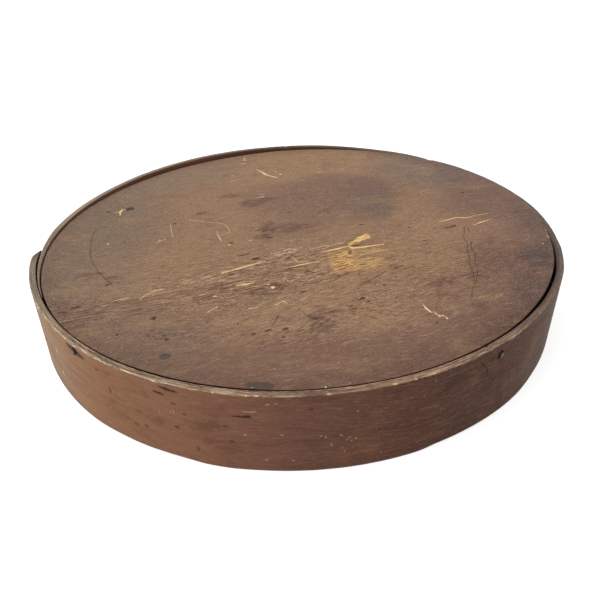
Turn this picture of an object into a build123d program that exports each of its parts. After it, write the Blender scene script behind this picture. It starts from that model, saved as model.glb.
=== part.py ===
from build123d import *
from math import cos, degrees, radians, sin, sqrt
import os

os.makedirs("parts", exist_ok=True)

# A shallow round cheese box of bent wood. The lid is as deep as the box and slides down over
# the base. Millimetres, +Z up, origin at the centre of the base's underside. Angles are in
# degrees, anticlockwise from +X seen from above, and the lid's lap is on the left.

# Lid band, a thin strip bent round and lapped on itself
lid_diameter = 390.0            # outside, away from the lap
lid_band_thickness = 4.6
lid_band_height = 54.8
table_gap = 0.6                 # under the lid band, when the base stands on a table

# Lap of the lid band, in lengths along the band from where the outer layer leaves the round
lid_lap_angle = 220.0           # place of that point, from which the lap runs clockwise
lid_lap_lead = 45.0             # to the tip of the inner layer
lid_lap_overlap = 63.0          # from that tip to the end of the outer layer
lid_lap_runout = 42.0           # from that end to where the inner layer is at full thickness
lid_lap_spread = 4.3            # how far the outer layer's end has sprung out
lid_lap_bevel = 12.0            # length of the bevel that ends the outer layer

# Lid board, sunk a little into the band and tilted in it
lid_board_thickness = 12.0
lid_board_gap = 1.2             # to the band, all round
lid_board_shift = 0.6           # off centre, away from the wide gap at the front right
lid_board_shift_angle = 141.0
lid_board_sunk = 1.4            # top of the board below the rim, at the centre
lid_board_tilt = 0.756
lid_board_high_angle = 333.4

# Base, whose size follows the lid's
base_band_thickness = 4.0
base_board_thickness = 11.0
base_board_gap = 0.3
lid_rest_gap = 0.3              # between the lid board and the rim that carries it
slip_play = 0.65                # between the lid and what stands out furthest from the base

# Lap of the base band, in the same terms
base_lap_angle = 80.0
base_lap_lead = 45.0
base_lap_overlap = 55.0
base_lap_runout = 40.0
base_lap_spread = 2.8
base_lap_bevel = 10.0

# Share of the room under the outer layer that the inner layer fills, on both bands
lap_fill_share = 0.67

# Cut nails that hold the boards, with an oval head and a square tapered shank
nail_head_width = 4.2
nail_head_height = 5.8
nail_head_thickness = 1.1
nail_root_width = 2.2
nail_tip_width = 1.0
nail_length = 25.0

# Tacks that hold the laps, driven through and clinched inside
tack_head_diameter = 4.4
tack_head_thickness = 0.8
tack_shank_width = 1.2
tack_leg_thickness = 0.9
tack_leg_length = 5.0

# Clearances and the overrun of cuts
seat_gap = 0.05                 # under a head and behind a clinched leg
hole_gap = 0.05                 # round a shank
cut_overrun = 1.0

# Places of the fasteners
lid_nail_angles = [226.7, 305.9, 26.0, 106.0, 166.0]
lid_nail_depth_shares = [0.18, 0.70, 0.45, 0.40, 0.45]      # of the board's thickness
base_nail_first_angle = 110.0
base_nail_step = 60.0
base_nail_count = 5
base_nail_height_share = 0.5                                # of the board's thickness
tack_column_shares = [0.35, 0.85]                           # of the overlap
tack_height_shares = [0.22, 0.52, 0.82]                     # of the clear height beside a board

# Radii and heights that follow from these
lid_radius = lid_diameter / 2
lid_inner_radius = lid_radius - lid_band_thickness
lid_board_radius = lid_inner_radius - lid_board_gap
lid_top = table_gap + lid_band_height
lid_board_top = lid_top - lid_board_sunk
lid_board_drop = lid_board_radius * sin(radians(lid_board_tilt))
lid_board_lowest = lid_board_top - lid_board_thickness * cos(radians(lid_board_tilt)) - lid_board_drop
base_radius = lid_inner_radius - slip_play - base_lap_spread - tack_head_thickness - seat_gap
base_inner_radius = base_radius - base_band_thickness
base_board_radius = base_inner_radius - base_board_gap
base_band_height = lid_board_lowest - lid_rest_gap


def polar(radius, angle):
    """Point at a radius and an angle in degrees."""
    return (radius * cos(radians(angle)), radius * sin(radians(angle)))


class Lap:
    """Shape of a lapped band: a round strip whose outer layer springs away from the inner one."""

    def __init__(self, radius, thickness, angle, lead, overlap, runout, spread, bevel):
        self.radius = radius
        self.inner_radius = radius - thickness
        self.angle = angle
        self.lead = lead
        self.overlap = overlap
        self.free_length = lead + overlap
        self.full_at = self.free_length + runout
        self.spread = spread
        self.bevel = bevel
        self.free_radius = 1 / (1 / radius - 2 * spread / self.free_length ** 2)
        self.free_inner_radius = self.free_radius - thickness
        self.free_centre = polar(radius - self.free_radius, angle)

    def round_point(self, radius, length):
        """Point beside the round, at a length along the band from where the outer layer leaves."""
        return polar(radius, self.angle - degrees(length / self.radius))

    def free_point(self, radius, length):
        """Point on a face of the free layer, at a length along it."""
        x, y = polar(radius, self.angle - degrees(length / self.free_radius))
        return (x + self.free_centre[0], y + self.free_centre[1])

    def free_arc(self, radius, length):
        """Face of the free layer from where it leaves the round to a length along it."""
        sweep = degrees(length / self.free_radius)
        return CenterArc(self.free_centre, radius, self.angle - sweep, sweep)

    def round_arc(self, radius, length):
        """Face of the round part, from where the lap begins the long way round to a length in it."""
        sweep = degrees(length / self.radius)
        return CenterArc((0, 0), radius, self.angle, 360 - sweep)

    def scarf_radius(self, length):
        """Outer face of the thinned inner layer, which fills a share of the room there."""
        room = self.spread * (length / self.free_length) ** 2
        return self.inner_radius + lap_fill_share * room

    def outline(self):
        """Closed outline of the band, seen from above."""
        end_length = self.free_length + self.bevel
        tip_inner = self.round_point(self.inner_radius, self.lead)
        tip_outer = self.round_point(self.scarf_radius(self.lead), self.lead)
        scarf_middle = self.round_point(self.scarf_radius(self.free_length), self.free_length)
        scarf_end = self.round_point(self.radius, self.full_at)
        end_inner = self.free_point(self.free_inner_radius, end_length)
        end_outer = self.free_point(self.free_radius, self.free_length)
        edges = [
            self.round_arc(self.inner_radius, self.lead),
            self.free_arc(self.free_inner_radius, end_length),
            Line(end_inner, end_outer),
            self.free_arc(self.free_radius, self.free_length),
            self.round_arc(self.radius, self.full_at),
            ThreePointArc(scarf_end, scarf_middle, tip_outer),
            Line(tip_outer, tip_inner),
        ]
        return make_face(edges)

    def tack_place(self, length, height):
        """Where a tack's head sits on the free layer, and the depth to the band's inside."""
        x, y = self.free_point(self.free_radius, length)
        angle = self.angle - degrees(length / self.free_radius)
        along = x * cos(radians(angle)) + y * sin(radians(angle))
        grip = along - sqrt(along ** 2 - (x ** 2 + y ** 2 - self.inner_radius ** 2))
        return Location((x, y, height), (0, 0, angle)), grip


def nail_shank(clearance):
    """Square tapered shank from under the head inwards along -X, or the hole for it."""
    root = nail_root_width + 2 * clearance
    tip = nail_tip_width + 2 * clearance
    length = nail_length + clearance
    low = (root - tip) / 2
    high = (root + tip) / 2
    align = (Align.CENTER, Align.MIN, Align.CENTER)
    return Pos(X=seat_gap) * Rot(Z=90) * Wedge(root, length, root, low, low, high, high, align=align)


def nail():
    """One cut nail with its head just clear of x = 0."""
    outline = Plane.YZ.offset(seat_gap) * Ellipse(nail_head_width / 2, nail_head_height / 2)
    head = extrude(outline, nail_head_thickness)
    return head + nail_shank(0)


def tack(grip):
    """One tack through a depth of wood from x = 0 inwards, its point bent down behind it."""
    behind = grip + seat_gap
    head = extrude(Plane.YZ * Circle(tack_head_diameter / 2), tack_head_thickness)
    reach = behind + tack_leg_thickness + seat_gap
    shank_align = (Align.MAX, Align.CENTER, Align.CENTER)
    shank = Box(reach, tack_shank_width, tack_shank_width, align=shank_align)
    leg_align = (Align.MAX, Align.CENTER, Align.MAX)
    leg = Box(tack_leg_thickness, tack_shank_width, tack_leg_length, align=leg_align)
    return Pos(X=seat_gap) * (head + shank) + Pos(X=-behind) * leg


def tack_hole(grip):
    """Square hole for a tack, through both layers of a lap."""
    width = tack_shank_width + 2 * hole_gap
    length = grip + 2 * cut_overrun
    hole_align = (Align.MAX, Align.CENTER, Align.CENTER)
    return Pos(X=cut_overrun) * Box(length, width, width, align=hole_align)


def lap_tacks(lap, low, high):
    """Tacks and their holes, in columns across the overlap and spread over a clear height."""
    tacks = []
    holes = []
    for column in tack_column_shares:
        for row in tack_height_shares:
            length = lap.lead + column * lap.overlap
            place, grip = lap.tack_place(length, low + row * (high - low))
            tacks.append(place * tack(grip))
            holes.append(place * tack_hole(grip))
    return tacks, holes


def board_nails(radius, places):
    """Nails and their holes, driven through a band into a board at angles and heights."""
    nails = []
    holes = []
    for angle, height in places:
        x, y = polar(radius, angle)
        place = Location((x, y, height), (0, 0, angle))
        nails.append(place * nail())
        holes.append(place * nail_shank(hole_gap))
    return nails, holes


def lid_nail_places():
    """Each lid nail's angle and height, at a share of the depth of the tilted board."""
    places = []
    for angle, share in zip(lid_nail_angles, lid_nail_depth_shares):
        rise = lid_board_drop * cos(radians(angle - lid_board_high_angle))
        places.append((angle, lid_board_top + rise - share * lid_board_thickness))
    return places


def base_nail_places():
    """Each base nail's angle and height, evenly spaced clear of the lap."""
    height = base_nail_height_share * base_board_thickness
    return [(base_nail_first_angle + i * base_nail_step, height) for i in range(base_nail_count)]


def lid_disc():
    """Lid board before its nail holes, tilted with its high side at the front right."""
    disc_align = (Align.CENTER, Align.CENTER, Align.MAX)
    disc = Cylinder(lid_board_radius, lid_board_thickness, align=disc_align)
    x, y = polar(lid_board_shift, lid_board_shift_angle)
    tilt = Rot(Z=lid_board_high_angle) * Rot(Y=-lid_board_tilt)
    return Pos(x, y, lid_board_top) * tilt * disc


def base_disc():
    """Base board before its nail holes."""
    disc_align = (Align.CENTER, Align.CENTER, Align.MIN)
    return Cylinder(base_board_radius, base_board_thickness, align=disc_align)


def write(node, shape):
    """Write one node's solids."""
    export_step(shape, "parts/" + node + ".step")


def build_lid():
    """Four nodes of the lid."""
    lap = Lap(lid_radius, lid_band_thickness, lid_lap_angle, lid_lap_lead, lid_lap_overlap,
              lid_lap_runout, lid_lap_spread, lid_lap_bevel)
    nails, nail_holes = board_nails(lid_radius, lid_nail_places())
    tacks, tack_holes = lap_tacks(lap, table_gap, lid_board_lowest)
    band = Pos(Z=table_gap) * extrude(lap.outline(), lid_band_height)
    write("lid_band", band - nail_holes - tack_holes)
    write("lid_board", lid_disc() - nail_holes)
    write("lid_board_nails", Compound(nails))
    write("lid_lap_tacks", Compound(tacks))


def build_base():
    """Four nodes of the base."""
    lap = Lap(base_radius, base_band_thickness, base_lap_angle, base_lap_lead, base_lap_overlap,
              base_lap_runout, base_lap_spread, base_lap_bevel)
    nails, nail_holes = board_nails(base_radius, base_nail_places())
    tacks, tack_holes = lap_tacks(lap, base_board_thickness, base_band_height)
    band = extrude(lap.outline(), base_band_height)
    write("base_band", band - nail_holes - tack_holes)
    write("base_board", base_disc() - nail_holes)
    write("base_board_nails", Compound(nails))
    write("base_lap_tacks", Compound(tacks))


build_base()
build_lid()
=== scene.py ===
from math import atan2, cos, degrees, hypot, radians, sin, sqrt, tau

import bpy
import numpy as np
from mathutils import Matrix, Vector, noise


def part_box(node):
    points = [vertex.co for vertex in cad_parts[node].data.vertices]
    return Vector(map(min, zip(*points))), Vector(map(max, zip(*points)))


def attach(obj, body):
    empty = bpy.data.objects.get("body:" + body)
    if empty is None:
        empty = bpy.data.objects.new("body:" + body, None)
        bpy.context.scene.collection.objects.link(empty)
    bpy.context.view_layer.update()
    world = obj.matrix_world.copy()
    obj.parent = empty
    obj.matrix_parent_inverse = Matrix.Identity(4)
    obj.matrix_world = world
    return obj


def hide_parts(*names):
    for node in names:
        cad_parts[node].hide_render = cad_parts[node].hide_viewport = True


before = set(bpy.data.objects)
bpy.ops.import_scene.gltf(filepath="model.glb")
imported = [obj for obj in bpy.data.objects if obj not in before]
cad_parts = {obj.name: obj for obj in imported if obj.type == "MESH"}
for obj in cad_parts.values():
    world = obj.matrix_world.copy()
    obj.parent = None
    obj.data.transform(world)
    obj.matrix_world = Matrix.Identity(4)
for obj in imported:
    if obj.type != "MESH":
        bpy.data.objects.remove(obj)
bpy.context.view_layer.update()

# A round bentwood cheese box. Lengths are written in millimetres and scaled to metres by MM.
# Angles are in degrees, anticlockwise from +X seen from above.
MM = 0.001

# Lid band and its lap, as in model.glb but for the curl of the lap's end
lid_radius = 195.0
lid_band_thickness = 4.6
lid_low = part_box("lid_band")[0].z / MM
lid_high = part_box("lid_band")[1].z / MM
lid_lap = dict(angle=220.0, lead=45.0, overlap=63.0, runout=42.0, spread=4.3, bevel=12.0, curl=2.0)

# Lid board
lid_board_radius = 189.2
lid_board_thickness = 12.0
lid_board_sunk = 1.4
lid_board_tilt = 0.756
lid_board_high_angle = 333.4
lid_board_shift = 0.6
lid_board_shift_angle = 141.0

# Base
base_radius = 186.1
base_band_thickness = 4.0
base_board_radius = 181.8
base_board_thickness = 11.0
base_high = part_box("base_band")[1].z / MM
base_lap = dict(angle=80.0, lead=45.0, overlap=55.0, runout=40.0, spread=2.8, bevel=10.0, curl=0.3)
lap_fill_share = 0.67

# Nails and tacks
nail_half_width = 2.1
nail_half_height = 2.9
nail_head_thickness = 1.1
nail_root = 2.2
nail_tip = 1.0
nail_length = 25.0
tack_head_radius = 2.2
tack_head_thickness = 0.3
tack_shank = 1.2
tack_leg_length = 5.0
tack_leg_thickness = 0.9
seat_gap = 0.05

# Lid nails: angle, share of the board's thickness down its edge, turn of the head. Base nails: angle, turn
lid_nails = [(226.7, 0.18, -25), (305.9, 0.7, -20), (26, 0.45, 12), (106, 0.4, -8), (166, 0.45, 18)]
base_nails = [(110, 10), (170, -15), (230, 5), (290, 20), (350, -6)]

# Tacks: shares of the lap's length and of the height that is free for them, and their room under the board
tack_columns = [0.35, 0.85]
tack_rows = [0.22, 0.52, 0.82]
tack_room = 2.5

# How far the lid's rim stands out of the round, and how far it dips, at angles round it
rim_outward = [
    (0, -1), (20, -1.1), (38, -0.8), (48, -1.8), (56, -0.3), (72, -0.6), (90, -0.4), (120, 0.2),
    (135, -0.3), (150, -1.4), (163, -1.2), (175, -1), (188, -1), (205, -0.3), (220, 0), (270, 0),
    (300, 0.1), (315, 0.3), (325, 0.6), (335, 0.9), (345, 0.1), (351, -0.8),
]
rim_dip = [(0, -0.4), (30, -1.2), (62, -1.4), (85, -0.3), (110, 0), (180, 0), (300, 0), (335, -0.2)]

# The free layer of the lap follows the rim's shape by this share
free_layer_share = 0.3

# How far the lid's lower edge sags, at angles round it
foot_sag = [
    (60, 0), (190, 0), (200, -0.5), (228, -0.5), (238, -0.1), (247, 0), (256, -0.5), (289, -0.5), (294, 0),
]

# How far the lid's lower edge stands out further than its rim, at angles round it
foot_flare = [
    (60, 0), (190, 0), (198, 0.7), (228, 0.7), (237, 0.2), (247, 0), (256, 0.9), (264, 0.5), (289, 0.7),
    (294, 0), (312, 0), (325, -1.2), (336, -1.6), (346, -0.4), (355, 0),
]

# How much of the thickness at the tip of a lap the bevel takes, how much of the bevel is worn off,
# and how far before it the strip starts to curl in
tip_cut = 0.8
tip_lost = 2.4
curl_lead = 14.0

# How far the rim's inner edge is worn round, at angles round it
inner_wear = [(5, 0.2), (30, 0), (300, 0), (330, 0.5), (345, 0.6)]

# How far the edge of the warped lid board rises off its plane and stands out of its round
board_rise = [
    (0, 0), (45, 0), (90, -0.8), (113, -1.3), (135, -0.6), (152, 0.6), (175, 2.1), (190, 2.4), (210, 2),
    (225, 1.75), (240, 1.3), (255, 0.85), (270, 0.25), (285, 0),
]
board_outward = [
    (0, 1.7), (30, 0.3), (120, 0.3), (150, 0.7), (163, 0.7), (175, -0.1), (188, 0.2), (205, 0.2),
    (215, 0.3), (225, 0.2), (243, -0.1), (262, 0.3), (275, 0.95), (285, 1.1), (295, 1.4), (305, 1.35),
    (315, 1), (325, 0.35), (335, -0.3), (345, 0.1), (351, 0.8),
]

# The board's grain runs at this angle to +X
grain_angle = 17.0

# Wear of the bands: rounding of their edges, stretches worn rounder (angle, half width in degrees,
# amount) and nicks in their rims (angle, half width, depth)
lid_rounding = 0.55
lid_worn = [(283, 12, 0.5), (215, 12, 0.3), (232, 10, 0.2), (304, 6, 0.3)]
lid_nicks = [(303.4, 1.6, 0.7), (262, 1.2, 0.3), (92, 2.5, 0.4), (47, 5, 0.7), (228.5, 1.6, 0.4)]
lid_wear_seed = 1.0
base_rounding = 0.6
base_worn = [(200, 30, 0.3)]
base_nicks = [(150, 2, 0.4), (330, 1.5, 0.3)]
base_wear_seed = 30.0

# Rounding of the boards' edges
lid_board_rounding = 0.6
base_board_rounding = 0.5

# Detail of the meshes: step along the bands, rings of the boards, points round a nail or tack, and
# where points lie on the faces of a band's profile
lid_band_step = 2.0
base_band_step = 2.5
lid_board_rings = 156
base_board_rings = 60
underside_rings = 30
fastener_count = 24
tall_face_shares = [0.012, 0.04, 0.12, 0.25, 0.4, 0.55, 0.7, 0.83, 0.92, 0.97, 0.99]
thin_face_shares = [0.15, 0.5, 0.85]

# How far inside a board's edge the rings of its underside end
underside_inset = 1.5

# Share of the radius and of the thickness at each ring of a nail's or tack's head, from its crown
head_profile = [(0.3, 1), (0.62, 0.95), (0.86, 0.8), (0.98, 0.5), (1, 0.22), (0.94, 0)]


def polar(radius, angle):
    """Point at a radius and an angle in degrees."""
    return Vector((radius * cos(radians(angle)), radius * sin(radians(angle))))


def round_the_ring(stations, angle):
    """Value at an angle, eased between stations of (angle, value) that go once round."""
    angle = angle % 360
    ring = [(stations[-1][0] - 360, stations[-1][1])] + stations + [(stations[0][0] + 360, stations[0][1])]
    for (a, low), (b, high) in zip(ring, ring[1:]):
        if a <= angle <= b:
            share = (angle - a) / (b - a)
            return low + (high - low) * share * share * (3 - 2 * share)


def apart(angle, other):
    """Degrees between two angles, at most 180."""
    return abs((angle - other + 180) % 360 - 180)


def bumpy(x, y=0.0, z=0.0):
    """Smooth noise from about -1 to 1."""
    return noise.noise(Vector((x, y, z)))


class Lap:
    """Outline of a bent strip lapped on itself, whose outer layer springs away from the inner one."""

    def __init__(self, radius, thickness, angle, lead, overlap, runout, spread, bevel, curl):
        self.radius = radius
        self.thickness = thickness
        self.inner_radius = radius - thickness
        self.angle = angle
        self.lead = lead
        self.overlap = overlap
        self.free_length = lead + overlap
        self.full_at = self.free_length + runout
        self.spread = spread
        self.bevel = bevel
        self.curl = curl
        self.free_radius = 1 / (1 / radius - 2 * spread / self.free_length ** 2)
        self.free_centre = polar(radius - self.free_radius, angle)
        self.scarf_centre, self.scarf_round = self.scarf_circle()

    def scarf_radius(self, length):
        """Outer face of the thinned inner layer at a length along the lap."""
        return self.inner_radius + lap_fill_share * self.spread * (length / self.free_length) ** 2

    def scarf_circle(self):
        """Centre and radius of the circle through three points of the inner layer's outer face."""
        places = [(self.scarf_radius(self.lead), self.lead),
                  (self.scarf_radius(self.free_length), self.free_length),
                  (self.radius, self.full_at)]
        points = [self.round_point(radius, length) for radius, length in places]
        a, b, c = points
        rows = np.array([(2 * (b - a)).to_tuple(), (2 * (c - a)).to_tuple()])
        sides = np.array([b.dot(b) - a.dot(a), c.dot(c) - a.dot(a)])
        centre = Vector(np.linalg.solve(rows, sides))
        return centre, (a - centre).length

    def round_point(self, radius, length):
        """Point beside the round at a length clockwise from where the outer layer leaves it."""
        return polar(radius, self.angle - degrees(length / self.radius))

    def free_point(self, radius, length):
        """Point on a face of the free layer, at a length along it."""
        return polar(radius, self.angle - degrees(length / self.free_radius)) + self.free_centre

    def outer_point(self, length):
        """Point on the strip's outer face while it lies on the round."""
        if length >= self.full_at:
            return self.round_point(self.radius, length)
        way = self.round_point(1.0, length)
        along = way.dot(self.scarf_centre)
        reach = self.scarf_round ** 2 - self.scarf_centre.length_squared + along ** 2
        return way * (along + sqrt(reach))

    def free_section(self, length):
        """Inner and outer point of the free layer, whose end is bevelled and curls in."""
        inner = self.free_point(self.free_radius - self.thickness, length)
        reach = max(length - self.free_length + curl_lead, 0.0) / (curl_lead + self.bevel - tip_lost)
        curled = inner.normalized() * self.curl * reach * reach
        end_outer = self.free_point(self.free_radius, self.free_length + tip_lost)
        end_inner = self.free_point(self.free_radius - self.thickness, self.free_length + self.bevel)
        if length <= self.free_length + tip_lost:
            return inner - curled, self.free_point(self.free_radius, length) - curled
        share = min((length - self.free_length - tip_lost) / (self.bevel - 2 * tip_lost), 0.9)
        return inner - curled, end_outer.lerp(end_inner, share * tip_cut) - curled

    def sections(self, step):
        """(inner point, outer point, place along the strip) of sections, clockwise from the inner end."""
        turn = tau * self.radius
        start = radians(self.angle) * self.radius
        rows = []
        count = round((turn - self.lead) / step)
        for i in range(count):
            length = self.lead + (turn - self.lead) * i / count
            inner = self.round_point(self.inner_radius, length)
            rows.append((inner, self.outer_point(length), start - length))
        end_length = self.free_length + self.bevel - tip_lost
        count = round(end_length / step)
        for i in range(count + 1):
            length = end_length * i / count
            inner, outer = self.free_section(length)
            rows.append((inner, outer, self.free_along(length)))
        return rows

    def free_along(self, length):
        """Place along the strip at a length along its free layer."""
        return radians(self.angle - 360) * self.radius - length

    def tack_place(self, length):
        """Where a tack sits on the free layer, its angle, and the depth to the band's inside."""
        point = self.free_point(self.free_radius, length)
        angle = self.angle - degrees(length / self.free_radius)
        along = point.dot(polar(1.0, angle))
        grip = along - sqrt(along ** 2 - (point.length_squared - self.inner_radius ** 2))
        return point, angle, grip


lid_shape = Lap(lid_radius, lid_band_thickness, **lid_lap)
base_shape = Lap(base_radius, base_band_thickness, **base_lap)


def mesh_object(name, points, faces, strip=None):
    """Object from points in millimetres. strip holds each point's place along, up and into a strip,
    or on nails and tacks how near it is to the head's crown."""
    mesh = bpy.data.meshes.new(name)
    mesh.from_pydata([(x * MM, y * MM, z * MM) for x, y, z in points], [], faces)
    mesh.update()
    if closed_volume(mesh) < 0:
        mesh.flip_normals()
    mesh.shade_smooth()
    mesh.set_sharp_from_angle(angle=radians(50))
    if strip is not None:
        layer = mesh.attributes.new("strip", "FLOAT_VECTOR", "POINT")
        layer.data.foreach_set("vector", np.array(strip, np.float32).ravel() * MM)
    made = bpy.data.objects.new(name, mesh)
    bpy.context.scene.collection.objects.link(made)
    return made


def closed_volume(mesh):
    """Volume of a closed mesh, negative where its faces point inwards."""
    mesh.calc_loop_triangles()
    corners = np.empty(len(mesh.loop_triangles) * 3, np.int32)
    mesh.loop_triangles.foreach_get("vertices", corners)
    places = np.empty(len(mesh.vertices) * 3, np.float32)
    mesh.vertices.foreach_get("co", places)
    a, b, c = places.reshape(-1, 3)[corners.reshape(-1, 3)].transpose(1, 0, 2).astype(float)
    return float((a * np.cross(b, c)).sum() / 6)


def corner(centre_depth, centre_height, radius, start, steps):
    """Points of a rounded corner over a quarter turn from start degrees, with its ends."""
    points = []
    for i in range(steps + 1):
        angle = radians(start + 90 * i / steps)
        points.append((centre_depth + radius * cos(angle), centre_height + radius * sin(angle)))
    return points


def face_points(start, end, shares):
    """Points between two corners of a profile."""
    return [(start[0] + (end[0] - start[0]) * s, start[1] + (end[1] - start[1]) * s) for s in shares]


def band_profile(thickness, low, high, rounding):
    """Closed profile of a band in (distance from its inner face, height). rounding is the radius
    at the outer top, inner top, inner bottom and outer bottom."""
    limit = thickness * 0.46
    outer_top, inner_top, inner_bottom, outer_bottom = [min(r, limit) for r in rounding]
    corners = [
        corner(thickness - outer_top, high - outer_top, outer_top, 0, 4),
        corner(inner_top, high - inner_top, inner_top, 90, 3),
        corner(inner_bottom, low + inner_bottom, inner_bottom, 180, 3),
        corner(thickness - outer_bottom, low + outer_bottom, outer_bottom, 270, 3),
    ]
    shares = [thin_face_shares, tall_face_shares, thin_face_shares, tall_face_shares]
    points = []
    for i in range(4):
        points += corners[i]
        points += face_points(corners[i][-1], corners[(i + 1) % 4][0], shares[i])
    return points


def loft(rings):
    """Faces between rings of equal counts, with the first and last ring filled."""
    count = len(rings[0])
    faces = []
    for i in range(len(rings) - 1):
        a = i * count
        b = a + count
        faces += [(a + j, a + (j + 1) % count, b + (j + 1) % count, b + j) for j in range(count)]
    last = (len(rings) - 1) * count
    faces.append(tuple(range(count))[::-1])
    faces.append(tuple(last + j for j in range(count)))
    return faces


class Wear:
    """How one band's edges and faces stray from the clean shape."""

    def __init__(self, seed, rounding, worn, nicks, settles):
        self.seed = seed
        self.rounding = rounding
        self.worn = worn
        self.nicks = nicks
        self.settles = settles

    def height(self, along, angle):
        """How much the rim stands above or below its nominal height."""
        rise = 0.14 * bumpy(along / 35, self.seed) + 0.08 * bumpy(along / 7, self.seed + 9)
        for place, width, depth in self.nicks:
            away = apart(angle, place) * radians(1) * lid_radius / width
            rise -= depth * max(0.0, 1 - away * away) ** 2
        if self.settles:
            rise += round_the_ring(rim_dip, angle)
        return rise

    def corner_radii(self, along, angle):
        """Radii of the profile's four corners."""
        extra = 0.0
        for place, width, amount in self.worn:
            away = apart(angle, place) / width
            extra += amount * max(0.0, 1 - away * away)
        rough = 0.5 + 0.5 * bumpy(along / 9, self.seed + 3)
        top = self.rounding * (0.7 + 0.9 * rough) + extra * (0.5 + rough)
        inner = self.rounding * 0.6
        if self.settles:
            inner += round_the_ring(inner_wear, angle)
        return top, inner, self.rounding, self.rounding * (0.8 + 0.8 * rough)

    def outward(self, along, height, angle, free):
        """How far a face stands out, with the slight waves of a bent strip."""
        wave = 0.16 * bumpy(along / 60, height / 45, self.seed)
        wave += 0.05 * bumpy(along / 14, height / 9, self.seed)
        if self.settles:
            wave += round_the_ring(rim_outward, angle) * (free_layer_share if free else 1.0)
            wave += round_the_ring(foot_flare, angle) * (1 - height / lid_high)
        return wave


def band(name, shape, low, high, wear, step):
    """A bent strip as one closed mesh, with rounded worn edges."""
    rings = []
    strip = []
    for inner, outer, along in shape.sections(step):
        thickness = (outer - inner).length
        way = (outer - inner).normalized()
        angle = degrees(atan2(inner.y, inner.x)) % 360
        top = high + wear.height(along, angle)
        foot = low + (round_the_ring(foot_sag, angle) if wear.settles else 0.0)
        profile = band_profile(thickness, foot, top, wear.corner_radii(along, angle))
        free = along < shape.free_along(0.0)
        ring = []
        for depth, height in profile:
            out = depth + wear.outward(along, height, angle, free)
            ring.append((inner.x + way.x * out, inner.y + way.y * out, height))
            strip.append((along, height - top + high, thickness - depth))
        rings.append(ring)
    points = [point for ring in rings for point in ring]
    return mesh_object(name, points, loft(rings), strip)


def hexagonal_disc(rings, first):
    """(shares of the radius with angles, faces) of a disc of even triangles, rings of 6, 12, 18..."""
    places = [(0.0, 0.0)]
    faces = []
    starts = [first]
    for k in range(1, rings + 1):
        starts.append(first + len(places))
        places += [(k / rings, 360 * i / (6 * k)) for i in range(6 * k)]
    for i in range(6):
        faces.append((first, starts[1] + i, starts[1] + (i + 1) % 6))
    for k in range(1, rings):
        near, far = starts[k], starts[k + 1]
        for side in range(6):
            for i in range(k + 1):
                a = far + side * (k + 1) + i
                b = far + (side * (k + 1) + i + 1) % (6 * (k + 1))
                c = near + (side * k + i) % (6 * k)
                faces.append((a, b, c))
                if i < k:
                    faces.append((c, b, near + (side * k + i + 1) % (6 * k)))
    return places, faces


def zip_rings(start, count, other, other_count):
    """Triangles between two rings whose counts differ, both starting at angle 0."""
    faces = []
    i = j = 0
    while i < count or j < other_count:
        if j >= other_count or (i < count and (i + 1) / count <= (j + 1) / other_count):
            faces.append((start + i % count, start + (i + 1) % count, other + j % other_count))
            i += 1
        else:
            faces.append((start + i % count, other + (j + 1) % other_count, other + j % other_count))
            j += 1
    return faces


def board(name, radius, thickness, rings, rounding, relief, to_row):
    """A round board. relief(x, y) gives how deep its top is cut, and to_row places a point."""
    edge_radius = radius - rounding
    places, faces = hexagonal_disc(rings, 0)
    points = []
    for share, angle in places:
        x, y = polar(edge_radius * share, angle)
        points.append((x, y, -relief(x, y)))
    count = 6 * rings
    ring = len(points) - count
    profile = corner(edge_radius, -rounding, rounding, 0, 3)[2::-1]
    profile += [(radius, -thickness * share) for share in (0.3, 0.6)]
    foot = rounding * 0.6
    profile += corner(radius - foot, foot - thickness, foot, 270, 2)[::-1]
    for reach, height in profile:
        above = ring
        ring = len(points)
        for i in range(count):
            angle = 360 * i / count
            uneven = 0.25 * bumpy(angle / 9, height / 4, rounding) if reach > edge_radius else 0.0
            x, y = polar(reach + uneven, angle)
            points.append((x, y, height))
        for i in range(count):
            after = (i + 1) % count
            faces.append((above + i, ring + i, ring + after, above + after))
    under = len(points)
    places, under_faces = hexagonal_disc(underside_rings, under)
    for share, angle in places:
        x, y = polar((radius - foot - underside_inset) * share, angle)
        points.append((x, y, -thickness + 0.12 * abs(bumpy(x / 30, y / 12, 5.0))))
    outer = len(points) - 6 * underside_rings
    faces += [face[::-1] for face in under_faces]
    faces += zip_rings(ring, count, outer, 6 * underside_rings)
    return mesh_object(name, [to_row(*point) for point in points], faces)


def lid_board_to_row(x, y, z):
    """Place of a point of the tilted lid board, which follows the rim where that isn't round."""
    angle = degrees(atan2(y, x)) % 360
    share = hypot(x, y) / lid_board_radius
    outward = round_the_ring(rim_outward, angle) + round_the_ring(board_outward, angle)
    reach = 1 + outward * share ** 2 / lid_board_radius
    z += round_the_ring(board_rise, angle) * share ** 4 * (1 + z / lid_board_thickness)
    turn = Matrix.Rotation(radians(lid_board_high_angle), 4, "Z")
    tilt = turn @ Matrix.Rotation(radians(-lid_board_tilt), 4, "Y") @ turn.inverted()
    shift = polar(lid_board_shift, lid_board_shift_angle)
    top = lid_high - lid_board_sunk
    return Matrix.Translation((shift.x, shift.y, top)) @ tilt @ Vector((x * reach, y * reach, z))


def base_board_to_row(x, y, z):
    """Place of a point of the base board, which lies on the ground."""
    return Vector((x, y, z + base_board_thickness))


def square_ring(half, count):
    """Points of a square outline, evenly spread by angle."""
    points = []
    for i in range(count):
        u, v = polar(1.0, 360 * i / count)
        points.append((u * half / max(abs(u), abs(v)), v * half / max(abs(u), abs(v))))
    return points


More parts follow.
